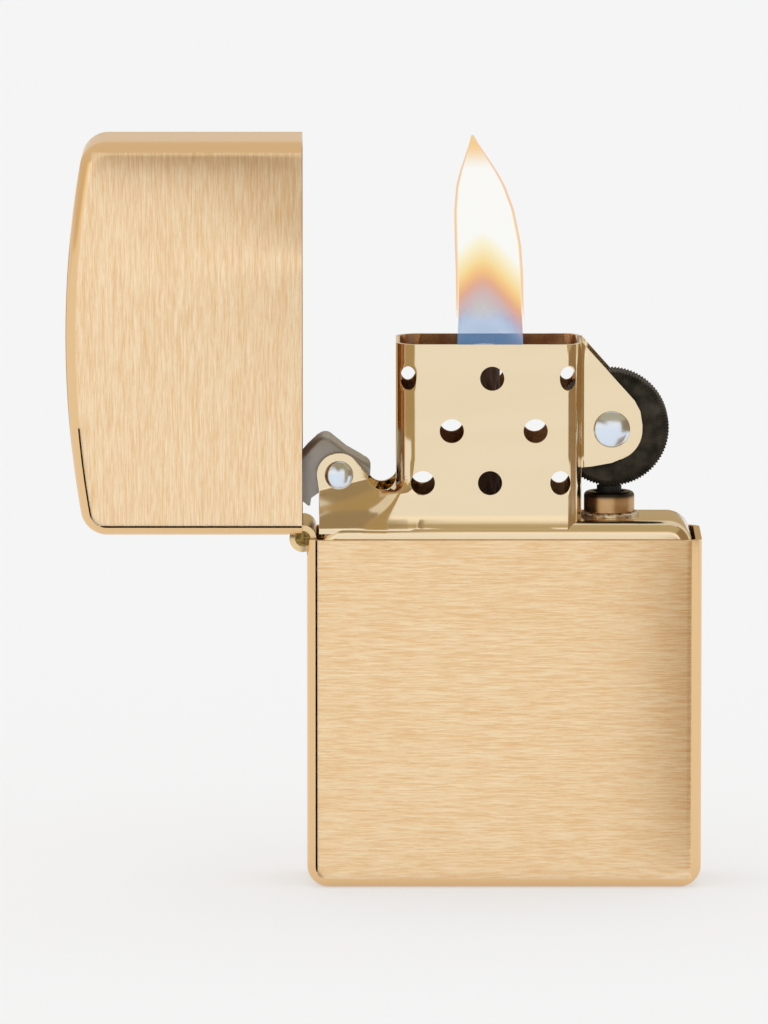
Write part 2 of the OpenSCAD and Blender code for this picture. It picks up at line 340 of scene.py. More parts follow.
case_dark, case_pale = (0.83, 0.54, 0.27, 1), (0.97, 0.785, 0.53, 1)
brushed_brass("brushed brass, side to side", "X", case_dark, case_pale, case_face).coat(base)

# ---- The lid ----
# A shallower drawn cup of the same brass, with a gently curved crown. Shut, it is brushed from
# side to side as the case is, so on the open lid the grain runs up and down.
lid_gap, lid_h, crown_r = 0.07, 22.9, 100
lid_rim, lid_top = base_h + lid_gap, base_h + lid_h


def cut_across(obj, places, axis):
    """Cuts the mesh at each place along an axis, in millimetres, keeping both sides."""
    normal = Vector((0, 0, 0))
    normal[axis] = 1
    only(obj)
    bpy.ops.object.mode_set(mode="EDIT")
    for place in places:
        bpy.ops.mesh.select_all(action="SELECT")
        bpy.ops.mesh.bisect(plane_co=normal * place * MM, plane_no=normal)
    bpy.ops.object.mode_set(mode="OBJECT")


lid = block("lid", (-half_w, -half_d, lid_rim), (half_w, half_d, lid_top))
cut_across(lid, [2 * i for i in range(-8, 9)], 0)
for vertex in lid.data.vertices:
    if vertex.co.z > (lid_top - 1) * MM:
        vertex.co.z -= (crown_r - math.sqrt(crown_r**2 - (vertex.co.x / MM) ** 2)) * MM
bevel_edges(
    lid,
    lambda a, b: a.y * b.y < 0
    and min(abs(a.x), abs(b.x)) > half_w - close
    and a.z > lid_rim + 1,
    foot_r,
    12,
)
bevel_edges(
    lid,
    lambda a, b: on_side(a, b, half_d)
    and max(a.z, b.z) > lid_rim + close
    and (abs(a.x - b.x) > 1e-4 or abs(a.x) > half_w - close),
    edge_r,
    10,
)
drop_faces(lid, lambda c, n: c.z < lid_rim + close)
use(lid, "SOLIDIFY", thickness=wall * MM, offset=-1, use_even_offset=True)
notch_high = (-half_w + 1, notch_half, base_h + notch_h)
cut_with(lid, block("notch", (-half_w - 1, -notch_half, base_h - 4), notch_high))
# The lid is shaped shut, and then turned open about the hinge
hinge_centre = Vector((hinge_x, 0, base_h)) * MM
opening = (
    Matrix.Translation(hinge_centre)
    @ Matrix.Rotation(-math.pi / 2, 4, "Y")
    @ Matrix.Translation(-hinge_centre)
)
lid.data.transform(opening)
smooth(lid)
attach(lid, "lid")
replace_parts(lid, "lid_shell")

lid_low, lid_high = base_h + hinge_out, base_h + hinge_out + case_w
crown_x = hinge_x - lid_h


def lid_face(finish):
    """1 on the open lid's brushed face, between its two sides and inside its curved crown."""
    along = finish.axis("Z") - (lid_low + half_w)
    crown = crown_x + along * along * (0.5 / crown_r)
    between = edge_band(finish.axis("Z"), lid_low, lid_high, 1.0)
    return between * (finish.axis("X") - crown).step(0.9, 1.15)


lid_dark, lid_pale = (0.86, 0.575, 0.305, 1), (1.0, 0.83, 0.59, 1)
brushed_brass("brushed brass, up and down", "Z", lid_dark, lid_pale, lid_face).coat(lid)

# ---- The insert ----
# Thin polished brass: a tank that drops into the case, with the perforated chimney and the two
# pairs of bracket ears standing on its shelf.
sheet, tank_l, tank_r, tank_low, tank_half, shelf = 0.4, -17.9, 18.2, 1.35, 5.5, 35.7
chimney_foot, chimney_top, chimney_half, vent_r = 35.0, 52.9, 5.2, 1.17
wheel_x, wheel_z, cam_x, cam_z = 10.35, 44.4, -16.0, 40.0
# A cutter that reaches this far to the front and the back goes right through
through = 8

polished = Finish("polished brass", Metallic=1.0, Roughness=0.1)
smear = polished.noise((90, 90, 700), detail=3.0)
brass = polished.mix(smear, (0.87, 0.71, 0.47, 1), (0.90, 0.76, 0.54, 1))
across, deep = polished.axis("X"), abs(polished.axis("Y"))
# The inside of the chimney, within its rounded corners, is painted brown: partly browned by the flame, and
# partly painted shade of its dark hollow
inside = polished.axis("Z").step(35.9, 36.1) * across.step(-10.35, -10.25)
for past, start, radius in (((across + 8.1) * -1, 2.8, 2.2), (across - 5.9, 3.9, 1.1)):
    past, beyond = past.high_of(0), (deep - start).high_of(0)
    inside = inside * (past * past + beyond * beyond).maths("SQRT").step(radius, radius - 0.1)
stain = polished.noise((300, 300, 160), detail=4.0, roughness=0.6)
# Heat browning and painted shade inside the chimney, from dark to lighter brown
burnt_and_shaded = polished.mix(stain.step(0.35, 0.65), (0.36, 0.17, 0.085, 1), (0.62, 0.38, 0.20, 1))
polished.feed("Base Color", polished.mix(inside, brass, burnt_and_shaded))
polished.feed("Roughness", smear * 0.10 + 0.08 + inside * 0.12)


def arc(centre, radius, start, stop, steps):
    """Points round a centre from one angle to another, in degrees."""
    angles = [math.radians(start + (stop - start) * i / steps) for i in range(steps + 1)]
    return [(centre[0] + radius * math.cos(a), centre[1] + radius * math.sin(a)) for a in angles]


# Half of the chimney's sheet seen from above, from the wheel's ear round to the middle of its end
half_path = [(13.8, -3.3), (10.8, -3.3), (8.2, -3.3)]
half_path += arc((7.8, -3.8), 0.5, 90, 165, 6)
half_path += arc((5.9, -3.9), 1.3, -15, -90, 10)
half_path += [(x, -chimney_half) for x in (4, 1, -2, -5, -7.6)]
half_path += arc((-8.1, -2.8), 2.4, -90, -180, 14)
half_path += [(-10.5, -1.4), (-10.5, 0)]
path = half_path + [(x, -y) for x, y in reversed(half_path[:-1])]
heights = [chimney_foot, 35.2, 35.5, 35.8, 36.15, 36.5, 37.2, 38.15, 42.0, 43.2, 45.8, 48.3, 50.9]
heights += [chimney_top]


def flare(z):
    """How far the chimney's foot swells out to meet the tank."""
    return 0.24 * (1 - min(1, max(0, (z - chimney_foot) / 1.5))) ** 2


def from_points(name, points, faces, edges=()):
    """An object made of points in millimetres, and the faces or edges between them."""
    mesh = bpy.data.meshes.new(name)
    mesh.from_pydata([(x * MM, y * MM, z * MM) for x, y, z in points], edges, faces)
    obj = bpy.data.objects.new(name, mesh)
    bpy.context.scene.collection.objects.link(obj)
    return obj


def patches(rows, columns, closed=False):
    """The four-sided faces between rows of points, and round to the first column if closed."""
    return [
        [
            i * columns + j,
            i * columns + (j + 1) % columns,
            (i + 1) * columns + (j + 1) % columns,
            (i + 1) * columns + j,
        ]
        for i in range(rows - 1)
        for j in range(columns if closed else columns - 1)
    ]


def turn_outwards(obj):
    """Makes every face of a closed shape point outwards."""
    only(obj)
    bpy.ops.object.mode_set(mode="EDIT")
    bpy.ops.mesh.select_all(action="SELECT")
    bpy.ops.mesh.normals_make_consistent(inside=False)
    bpy.ops.object.mode_set(mode="OBJECT")


def prism(name, outline, y0, y1):
    """A plate with an outline of X and Z points, in millimetres, from y0 to y1."""
    count = len(outline)
    points = [(x, y, z) for y in (y0, y1) for x, z in outline]
    faces = [list(range(count)), [2 * count - 1 - i for i in range(count)]]
    faces += [[i, i + count, (i + 1) % count + count, (i + 1) % count] for i in range(count)]
    obj = from_points(name, points, faces)
    turn_outwards(obj)
    return obj


def rod(name, low, high, radius, sides=64):
    """A round bar between two points in millimetres."""
    low, high = Vector(low) * MM, Vector(high) * MM
    along = high - low
    bpy.ops.mesh.primitive_cylinder_add(
        vertices=sides, radius=radius * MM, depth=along.length, location=(low + high) / 2
    )
    obj = bpy.context.object
    obj.name = name
    obj.rotation_euler = along.to_track_quat("Z", "Y").to_euler()
    settle(obj)
    return obj


points = []
for z in heights:
    for x, y in path:
        reach = min(1, abs(y) / chimney_half) ** 6
        points.append((x, y + math.copysign(flare(z) * reach, y), z))
chimney = from_points("chimney", points, patches(len(heights), len(path)))
use(chimney, "SOLIDIFY", thickness=sheet * MM, offset=1, use_even_offset=True)
ear = [(13.35, 44.9), (13.15, 46.2), (12.6, 47.25), (7.62, chimney_top - 0.1), (7.3, chimney_top + 1)]
ear += [(-12, chimney_top + 1), (-12, 30), (7.45, 30), (7.45, 40.75), (8.5, 40.85), (10.4, 41.2)]
ear += arc((wheel_x, wheel_z), 3.0, -75, 0, 10)
cut_with(chimney, prism("ear_outline", ear, -through, through), operation="INTERSECT")
vents = [(-9.3, 49.6), (-1.2, 49.6), (6.1, 49.6), (-5.1, 44.5), (3.0, 44.5)]
vents += [(-7.9, 39.45), (-1.4, 39.45), (5.4, 39.45)]
for x, z in vents:
    vent = rod("vent", (x, -through, z), (x, through, z), vent_r, 40)
    # The vents over the rounded corners are punched before the sheet is bent, so they look narrow
    narrow = {-9.3: 0.66, 6.1: 0.66, 5.4: 0.84}.get(x, 1)
    for vertex in vent.data.vertices:
        vertex.co.x = (x + (vertex.co.x / MM - x) * narrow) * MM
    cut_with(chimney, vent)
soften = {"width": 0.11 * MM, "segments": 2, "limit_method": "ANGLE", "angle_limit": math.radians(50)}
use(chimney, "BEVEL", **soften)
smooth(chimney, 40)
use(chimney, "WEIGHTED_NORMAL", keep_sharp=True, weight=80)
polished.coat(chimney)

tank = block("tank", (tank_l, -tank_half, tank_low), (tank_r, tank_half, shelf))
bevel_edges(tank, lambda a, b: min(a.z, b.z) > shelf - 0.7 and a.y * b.y < 0, 2.4, 10)
bevel_edges(tank, lambda a, b: on_side(a, b, tank_half) and max(a.z, b.z) > tank_low + 0.1, 1.2, 8)
drop_faces(tank, lambda c, n: c.z < tank_low + close)
use(tank, "SOLIDIFY", thickness=sheet * MM, offset=-1, use_even_offset=True)
smooth(tank)
polished.coat(tank)
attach(chimney, "insert")
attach(tank, "insert")
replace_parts(tank, "insert_shell")

# ---- The cheeks of the insert ----
# The same sheet runs on to the hinge side as two cheeks. Each leans in from the tank's face to a
# crease, and stands up above it as the ear that holds the cam's rivet.
def ramp(value, start, stop):
    """0 at start, 1 at stop, and smooth between them."""
    share = min(1, max(0, (value - start) / (stop - start)))
    return share * share * (3 - 2 * share)


def cheek_depth(x, z):
    """Half the depth of the pressed sheet at a place seen from the front."""
    foot_z, foot_half, crease_half = 35.1, 5.42, 3.5
    crease = 38.1 + (x - tank_l) * 0.24
    lean = min(1, max(0, (z - foot_z) / (crease - foot_z)))
    ear_plane = 3.42 + 0.10 * ramp(z, crease + 0.5, crease - 0.1)
    leaning = foot_half + (crease_half - foot_half) * (lean - 0.04 * math.sin(2 * math.pi * lean))
    cheek = leaning if z < crease else ear_plane
    front = chimney_half + flare(z)
    corner = 2.8 + math.sqrt(max(0, 2.4**2 - max(0, -8.1 - x) ** 2))
    front += (corner - front) * ramp(z, 38.4, 39.8)
    middle = -10.9 - 0.42 * max(0, 39.2 - z) ** 1.15
    joined = cheek + (front - cheek) * ramp(x, middle - 1.5, middle + 1.3)
    sunk = max(ramp(x, -9.3, -8.5), ramp(z, 39.9, 40.5) * ramp(x, -10.9, -10.5))
    return joined + 0.012 - 0.05 * sunk


rows = [34.4 + 0.16 * i for i in range(51)]
places = [-18.2 + 0.16 * i for i in range(62)]
outline = [(-17.92, 34.5), (-17.95, 38.6)] + arc((cam_x, cam_z), 2.15, 180, 32, 18)
outline += [(-13.3, 40.15)] + arc((-11.85, 40.0), 1.4, 190, 352, 16)
outline += [(-10.35, 41.4), (-8.5, 41.4), (-8.5, 34.5)]
for name, side in (("cheek_front", -1), ("cheek_back", 1)):
    points = [(x, side * cheek_depth(x, z), z) for z in rows for x in places]
    faces = [face[::-side] for face in patches(len(rows), len(places))]
    cheek = from_points(name, points, faces)
    use(cheek, "SOLIDIFY", thickness=sheet * MM, offset=-1, use_even_offset=True)
    cut_with(cheek, prism("cheek_outline", outline, -through, through), operation="INTERSECT")
    cut_with(cheek, rod("vent", (-7.9, -through, 39.45), (-7.9, through, 39.45), vent_r, 40))
    use(cheek, "BEVEL", **soften)
    smooth(cheek, 40)
    use(cheek, "WEIGHTED_NORMAL", keep_sharp=True, weight=80)
    polished.coat(cheek)
    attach(cheek, "insert")

# ---- The rivets ----
# Two rivets of bright nickel go across the ears, one as the wheel's axle and one as the cam's. Their
# ends are struck into low domed heads.
nickel = Finish("bright nickel", Metallic=1.0, Base_Color=(0.74, 0.82, 0.93, 1))
scuff = nickel.noise((900, 900, 900), detail=4.0, roughness=0.7)
nickel.feed("Roughness", 0.10 + scuff * 0.16)
nickel.feed("Normal", nickel.bump(scuff, 0.00002, 0.35))


def rivet(name, x, z, shank, head, ear_face):
    """A shank across both ears with a domed head at each end."""
    obj = rod(name, (x, -ear_face, z), (x, ear_face, z), shank, 48)
    for side in (-1, 1):
        bpy.ops.mesh.primitive_uv_sphere_add(
            segments=64,
            ring_count=32,
            radius=head * MM,
            location=(x * MM, side * ear_face * MM, z * MM),
        )
        dome = bpy.context.object
        dome.scale = (1, 0.5 / head, 1)
        settle(dome)
        for vertex in dome.data.vertices:
            if vertex.co.y * side < ear_face * MM:
                vertex.co.y = side * ear_face * MM
        only(obj)
        dome.select_set(True)
        bpy.ops.object.join()
    smooth(obj, 50)
    nickel.coat(obj)
    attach(obj, "insert")
    return obj


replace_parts(rivet("wheel_pin", 10.38, 44.45, shank=1.0, head=1.78, ear_face=3.3), "wheel_rivet")
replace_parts(rivet("cam_pin", cam_x, cam_z, shank=0.7, head=1.39, ear_face=3.42), "cam_rivet")

# ---- The striker wheel ----
# A hardened steel wheel with fine saw teeth that scrape sparks from the flint. Its sides are
# rough from the heat treatment.
wheel_r, tread_half, teeth, tooth_foot = 5.6, 2.2, 110, 0.972
tread_ends = (wheel_x, -tread_half, wheel_z), (wheel_x, tread_half, wheel_z)
wheel = rod("toothed_wheel", *tread_ends, wheel_r, 2 * teeth)
hub = Vector((wheel_x, 0, wheel_z)) * MM
for vertex in wheel.data.vertices:
    spoke = vertex.co - hub
    turn = math.atan2(spoke.z, spoke.x) / (2 * math.pi) * 2 * teeth
    if round(turn) % 2:
        spoke.x *= tooth_foot
        spoke.z *= tooth_foot
        vertex.co = hub + spoke
# Each side is drawn in and pushed out in rings, from the teeth's bevel to the hub
rings = ((0.94, 0.3), (0.965, 0.1), (0.93, -0.06), (0.9, -0.1), (0.55, 0.0), (0.8, 0.1))
only(wheel)
bpy.ops.object.mode_set(mode="EDIT")
for side in (-1, 1):
    for grow, push in rings:
        mesh = bmesh.from_edit_mesh(wheel.data)
        for face in mesh.faces:
            face.select_set(len(face.verts) > 8 and face.normal.y * side > 0.5)
        bmesh.update_edit_mesh(wheel.data)
        bpy.ops.mesh.extrude_region()
        bpy.ops.transform.resize(value=(grow, 1, grow), center_override=hub)
        bpy.ops.transform.translate(value=(0, side * push * MM, 0))
bpy.ops.object.mode_set(mode="OBJECT")
cut_with(wheel, rod("wheel_bore", (wheel_x, -5, wheel_z), (wheel_x, 5, wheel_z), 1.05, 48))
smooth(wheel, 25)
steel = Finish("hardened steel", Metallic=0.85)
grain = steel.noise((1800, 1800, 1800), detail=5.0, roughness=0.65)
blotch = steel.noise((420, 420, 420), detail=3.0)
dark_scale, brown_scale = (0.018, 0.016, 0.012, 1), (0.075, 0.066, 0.05, 1)
steel.feed("Base Color", steel.mix(blotch.step(0.35, 0.7), dark_scale, brown_scale))
steel.feed("Roughness", 0.42 + grain * 0.35)
steel.feed("Normal", steel.bump(grain, 0.00006, 0.8))
steel.coat(wheel)
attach(wheel, "wheel")
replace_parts(wheel, "striker_wheel")

# ---- The cam ----
# A lever stamped and folded from grey steel into a channel: its toe is thrown over by the lid, and
# its heel rides on the cam spring.
cam_half = 2.8
outline = [(-4.45, -0.3), (-4.2, 0.8), (-3.75, 1.65), (-3.0, 2.5), (-2.1, 3.35)]
outline += arc((-1.35, 2.75), 0.9, 130, 55, 6) + [(0.7, 2.25), (2.1, 1.45)]
outline += arc((2.1, 0.35), 0.95, 75, -60, 6) + [(1.6, -0.95), (0.6, -1.2), (-2.0, -1.8)]
outline += [(-2.7, -2.3), (-2.8, -3.0), (-3.0, -3.05), (-3.35, -2.75), (-4.3, -2.0)]
cam = prism("cam", [(cam_x + x, cam_z + z) for x, z in outline], -cam_half, cam_half)
bevel_edges(
    cam,
    lambda a, b: abs(a.y - b.y) < close
    and a.z + b.z - 2 * cam_z > 0.3 * (a.x + b.x - 2 * cam_x)
    and min(a.z, b.z) > cam_z - 0.4,
    0.35,
    5,
)
drop_faces(cam, lambda c, n: abs(n.y) < 0.3 and n.z < 0.15 and c.z < cam_z + 0.3)
use(cam, "SOLIDIFY", thickness=0.5 * MM, offset=-1, use_even_offset=True)
cut_with(cam, rod("cam_bore", (cam_x, -5, cam_z), (cam_x, 5, cam_z), 0.75, 40))
smooth(cam, 35)
stamped = Finish("stamped grey steel", Metallic=0.9)
speck = stamped.noise((2600, 2600, 2600), detail=4.0, roughness=0.7)
cloud = stamped.noise((500, 500, 500), detail=2.0)
tint = stamped.mix(cloud, (0.36, 0.34, 0.33, 1), (0.47, 0.45, 0.43, 1))
stamped.feed("Base Color", stamped.mix(speck.step(0.6, 0.75), tint, (0.62, 0.58, 0.52, 1)))
stamped.feed("Roughness", 0.34 + speck * 0.25)
stamped.feed("Normal", stamped.bump(speck, 0.00004, 0.6))
stamped.coat(cam)
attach(cam, "cam")
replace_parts(cam, "cam_lever")


# ---- The flint tube and its ring ----
# A bronze tube through the tank, with a turned collar on the shelf. The shelf's sheet is swaged
# and soldered round the collar's foot, which leaves a bright uneven ring.
def lathe(name, profile, x, steps=72):
    """A turned shape: a closed profile of radius and height in millimetres, spun about Z at x."""
    count = len(profile)
    points = [(x + r, 0, z) for r, z in profile]
    obj = from_points(name, points, [], [(i, (i + 1) % count) for i in range(count)])
    only(obj)
    bpy.ops.object.mode_set(mode="EDIT")
    bpy.ops.mesh.select_all(action="SELECT")
    bpy.ops.mesh.spin(steps=steps, angle=2 * math.pi, center=(x * MM, 0, 0), axis=(0, 0, 1))
    bpy.ops.mesh.select_all(action="SELECT")
    bpy.ops.mesh.remove_doubles(threshold=1e-6)
    bpy.ops.object.mode_set(mode="OBJECT")
    turn_outwards(obj)
    return obj


tube_x, tube_r, tube_bore, collar_r, collar_top = 10.2, 1.95, 1.35, 2.45, 38.1
profile = [(tube_bore, 2.05), (tube_r, 2.05), (tube_r, shelf + 0.05), (collar_r - 0.2, shelf + 0.05)]
profile += [(collar_r - 0.18, shelf + 0.35), (collar_r, shelf + 0.45), (collar_r, collar_top - 0.45)]
profile += arc((collar_r - 0.45, collar_top - 0.45), 0.45, 15, 90, 6)
profile += [(tube_bore + 0.35, collar_top), (tube_bore + 0.2, collar_top - 0.25)]
profile += [(tube_bore, collar_top - 0.4)]
tube = lathe("flint_tube_turned", profile, tube_x)
smooth(tube, 40)
bronze = Finish("turned bronze", Metallic=1.0)
turning = bronze.noise((150, 150, 5000), detail=3.0)
# The tube is painted near black round its top, under the wheel
dark_top = bronze.axis("Z").step(collar_top - 0.75, collar_top - 0.3)
warm = bronze.mix(turning, (0.50, 0.30, 0.14, 1), (0.66, 0.44, 0.24, 1))
bronze.feed("Base Color", bronze.mix(dark_top, warm, (0.05, 0.04, 0.03, 1)))
bronze.feed("Roughness", turning * 0.2 + 0.24)
bronze.feed("Normal", bronze.bump(turning, 0.00002, 0.5))
bronze.coat(tube)
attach(tube, "insert")
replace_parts(tube, "flint_tube")

bpy.ops.mesh.primitive_torus_add(
    major_radius=2.58 * MM,
    minor_radius=0.3 * MM,
    major_segments=120,
    minor_segments=16,
    location=(tube_x * MM, 0, (shelf + 0.12) * MM),
)
ring = bpy.context.object
ring.name = "swaged_ring"
settle(ring)
for vertex in ring.data.vertices:
    turn = math.atan2(vertex.co.y, vertex.co.x - tube_x * MM)
    lump = 0.5 * math.sin(17 * turn) + 0.3 * math.sin(29 * turn + 1) + 0.3 * math.sin(41 * turn + 2)
    vertex.co.z += max(0, vertex.co.z / MM - shelf) * 0.25 * lump * MM
smooth(ring, 60)
solder = Finish("bright solder", Metallic=1.0)
crumb = solder.noise((1500, 1500, 1500), detail=4.0, roughness=0.7)
dull, bright = (0.45, 0.33, 0.20, 1), (0.92, 0.86, 0.76, 1)
solder.feed("Base Color", solder.mix(crumb.step(0.35, 0.65), dull, bright))
solder.feed("Roughness", 0.18 + crumb * 0.25)
solder.feed("Normal", solder.bump(crumb, 0.00008, 0.8))
solder.coat(ring)
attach(ring, "insert")
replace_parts(ring, "flint_tube_ring")

# ---- The wick ----
# Cotton braided round a copper wire. It soaks in the packing, and its clipped top stands level with
# the chimney's rim.
wick_x, wick_r, wick_low, wick_top, strands = -1.9, 1.5, 8.0, 52.3, 8
wick = rod("braided_wick", (wick_x, 0, wick_low), (wick_x, 0, wick_top), wick_r, 96)
cut_across(wick, [wick_low + 0.25 * i for i in range(1, 177)], 2)
for vertex in wick.data.vertices:
    x, y, z = vertex.co.x / MM - wick_x, vertex.co.y / MM, vertex.co.z / MM
    turn, climb = math.atan2(y, x), 1.9 * z
    braid = max(math.sin(strands * turn + climb), math.sin(strands * turn - climb))
    share = 1 - 0.07 * (1 - braid) - 0.12 * ramp(z, wick_top - 0.5, wick_top)
    vertex.co.x = (wick_x + x * share) * MM
    vertex.co.y = y * share * MM
smooth(wick, 60)
cotton = Finish("braided cotton", Roughness=0.9, Sheen_Weight=0.3)
fibre = cotton.noise((3000, 3000, 1500), detail=4.0)
# The wick is painted dark brown from just above the shelf up to just under its clipped top
dark_band = cotton.axis("Z").step(36, 38) * cotton.axis("Z").step(wick_top - 0.6, wick_top - 2.0)
cotton_tone = cotton.mix(fibre, (0.70, 0.66, 0.58, 1), (0.93, 0.91, 0.86, 1))
cotton.feed("Base Color", cotton.mix(dark_band, cotton_tone, (0.10, 0.055, 0.03, 1)))
cotton.feed("Normal", cotton.bump(fibre, 0.0001, 0.7))
cotton.coat(wick)
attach(wick, "insert")
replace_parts(wick, "wick")

# ---- The wire in the wick ----
# A thin drawn copper wire is braided into the middle of the wick. It keeps the wick stiff while it is
# pulled up through the packing.
nodes = frame["nodes"]


def finish_node(finish, *names):
    """Gives a part that keeps its modelled shape its finish."""
    for name in names:
        finish.coat(nodes[name])


copper = Finish("copper wire", Metallic=1.0)
drawn = copper.noise((3000, 3000, 300), detail=3.0)
copper.feed("Base Color", copper.mix(drawn, (0.70, 0.32, 0.17, 1), (0.92, 0.52, 0.32, 1)))
copper.feed("Roughness", 0.2 + drawn * 0.2)
finish_node(copper, "wick_wire")

# ---- The wick plate ----
# A pressed brass plate across the chimney's foot, with a hole that grips the wick. The flame has
# browned it.
finish_node(polished, "wick_plate")

# ---- The packing ----
# Soft cotton balls pushed into the tank round the wick. They hold the petrol, and swell into one
# another.
balls = [(-11.7, 9.1 + 9.9 * i, 4.85) for i in range(3)]
balls += [(3.8, 8.5 + 8.9 * i, 4.1) for i in range(3)]
lumps = []
for x, z, radius in balls:
    bpy.ops.mesh.primitive_ico_sphere_add(subdivisions=6, radius=radius * MM, location=(x * MM, 0, z * MM))
    lump = bpy.context.object
    settle(lump)
    middle = Vector((x * MM, 0, z * MM))
    for vertex in lump.data.vertices:
        out = vertex.co - middle
        tuft = noise.noise(vertex.co * 260) * 0.06 + noise.noise(vertex.co * 900) * 0.035
        tuft += noise.noise(vertex.co * 3200) * 0.012
        vertex.co = middle + out * (0.93 + tuft * 0.6)
    lumps.append(lump)
only(lumps[0])
for lump in lumps[1:]:
    lump.select_set(True)
bpy.ops.object.join()
packing = bpy.context.object
packing.name = "packing"
smooth(packing, 60)
wadding = Finish("cotton wadding", Roughness=0.95, Sheen_Weight=0.4)
hair = wadding.noise((1400, 1400, 1400), detail=6.0, roughness=0.7, distortion=0.8)
wadding.feed("Base Color", wadding.mix(hair, (0.78, 0.74, 0.66, 1), (0.95, 0.93, 0.89, 1)))
wadding.feed("Normal", wadding.bump(hair, 0.0002, 0.8))
wadding.coat(packing)
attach(packing, "insert")
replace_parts(packing, "packing_balls")

# ---- The felt pad ----
# A thick slip of grey wool felt that closes the tank, with a hole for the flint tube's screw. It is
# lifted at one end to fill the lighter.
felt = block("felt", (tank_l + 0.48, -5.02, 1.75), (tank_r - 0.48, 5.02, 3.95))
bevel_edges(felt, lambda a, b: abs(a.z - b.z) > 1 and abs(a.x - b.x) < close, 1.0, 6)
cut_with(felt, rod("felt_hole", (tube_x, 0, 0), (tube_x, 0, 6), 2.65, 48))
use(felt, "REMESH", mode="VOXEL", voxel_size=0.0003)
noise.seed_set(1)
for vertex in felt.data.vertices:
    fuzz = noise.noise_vector(vertex.co * 1300) * 0.00004
    vertex.co += fuzz + noise.noise_vector(vertex.co * 300) * 0.00005
smooth(felt, 60)
wool = Finish("wool felt", Roughness=0.95, Sheen_Weight=0.5)
matted = wool.noise((1600, 1600, 1600), detail=6.0, roughness=0.75, distortion=1.0)
flecks = wool.noise((5000, 2200, 5000), detail=2.0)
grey = wool.mix(matted.step(0.3, 0.7), (0.30, 0.29, 0.27, 1), (0.50, 0.48, 0.45, 1))
wool.feed("Base Color", wool.mix(flecks.step(0.62, 0.72), grey, (0.70, 0.68, 0.63, 1)))
wool.feed("Normal", wool.bump(matted, 0.00015, 0.8))
wool.coat(felt)
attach(felt, "insert")
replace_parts(felt, "felt_pad")

# ---- The cam spring and its rivets ----
# A leaf of blued spring steel riveted inside the tank. Its free end presses up under the cam, and
# snaps it over.
blued = Finish("spring steel", Metallic=1.0)
rolled = blued.noise((2500, 2500, 200), detail=4.0, roughness=0.6)
blued.feed("Base Color", blued.mix(rolled, (0.22, 0.23, 0.26, 1), (0.42, 0.42, 0.43, 1)))
blued.feed("Roughness", 0.25 + rolled * 0.2)
blued.feed("Normal", blued.bump(rolled, 0.00002, 0.4))
finish_node(blued, "cam_spring")
finish_node(nickel, "cam_spring_rivets")

# ---- The flint, its spring and its screw ----
# The screw under the insert drives a coil spring, whose plunger pushes the flint up to the wheel.
# The flint is a pressed alloy rod with a dull grey skin.
pyro = Finish("flint alloy", Metallic=0.5)
pitted = pyro.noise((2200, 2200, 2200), detail=5.0, roughness=0.7)
pyro.feed("Base Color", pyro.mix(pitted, (0.012, 0.011, 0.010, 1), (0.05, 0.047, 0.043, 1)))
pyro.feed("Roughness", 0.45 + pitted * 0.3)
pyro.feed("Normal", pyro.bump(pitted, 0.00005, 0.7))
finish_node(pyro, "flint")

drawn_steel = Finish("drawn steel wire", Metallic=1.0)
die = drawn_steel.noise((1500, 1500, 1500), detail=3.0)
drawn_steel.feed("Base Color", drawn_steel.mix(die, (0.50, 0.50, 0.50, 1), (0.74, 0.73, 0.71, 1)))
drawn_steel.feed("Roughness", 0.18 + die * 0.18)
finish_node(drawn_steel, "flint_spring_tip")
coil_low, coil_high, coil_r, wire_r, turns, steps, sides = 9.1, 31.95, 0.95, 0.2, 14, 24, 10
eased = ramp(0, -1.0, turns + 1.0) * 0.35
points = []
for i in range(turns * steps + 1):
    turn = i / steps
    # The end coils lie shut against each other, so the wire climbs fastest in the middle
    climb = ramp(turn, -1.0, turns + 1.0) * 0.35 + 0.65 * turn / turns
    climb = (climb - eased) / (1 - 2 * eased)
    z = coil_low + wire_r + (coil_high - coil_low - 2 * wire_r) * climb
    angle = 2 * math.pi * turn
    for j in range(sides):
        r = coil_r + wire_r * math.cos(2 * math.pi * j / sides)
        rise = wire_r * math.sin(2 * math.pi * j / sides)
        points.append((tube_x + r * math.cos(angle), r * math.sin(angle), z + rise))
faces = patches(turns * steps + 1, sides, closed=True)
faces += [list(range(sides))[::-1], [turns * steps * sides + j for j in range(sides)]]
coil = from_points("coil_spring", points, faces)
turn_outwards(coil)
smooth(coil, 50)
drawn_steel.coat(coil)
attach(coil, "flint")
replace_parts(coil, "flint_spring")
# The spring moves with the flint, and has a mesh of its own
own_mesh(coil)

turned = Finish("turned brass", Metallic=1.0)
groove = turned.noise((500, 500, 6000), detail=3.0)
turned.feed("Base Color", turned.mix(groove, (0.72, 0.50, 0.24, 1), (0.88, 0.68, 0.38, 1)))
turned.feed("Roughness", 0.18 + groove * 0.2)
turned.feed("Normal", turned.bump(groove, 0.00002, 0.5))
finish_node(turned, "flint_screw")

# ---- The hinge ----
# Two brass leaves, spot-welded inside the case and the lid, whose knuckles curl round a pin. The
# pin's ends are sheared off, which leaves them torn and dark.
leaf_brass = Finish("hinge brass", Metallic=1.0)
rubbed = leaf_brass.noise((700, 700, 700), detail=4.0, roughness=0.6)
leaf_brass.feed("Base Color", leaf_brass.mix(rubbed, (0.76, 0.55, 0.28, 1), (0.90, 0.70, 0.42, 1)))
leaf_brass.feed("Roughness", 0.12 + rubbed * 0.2)
finish_node(leaf_brass, "base_hinge_leaf", "lid_hinge_leaf")

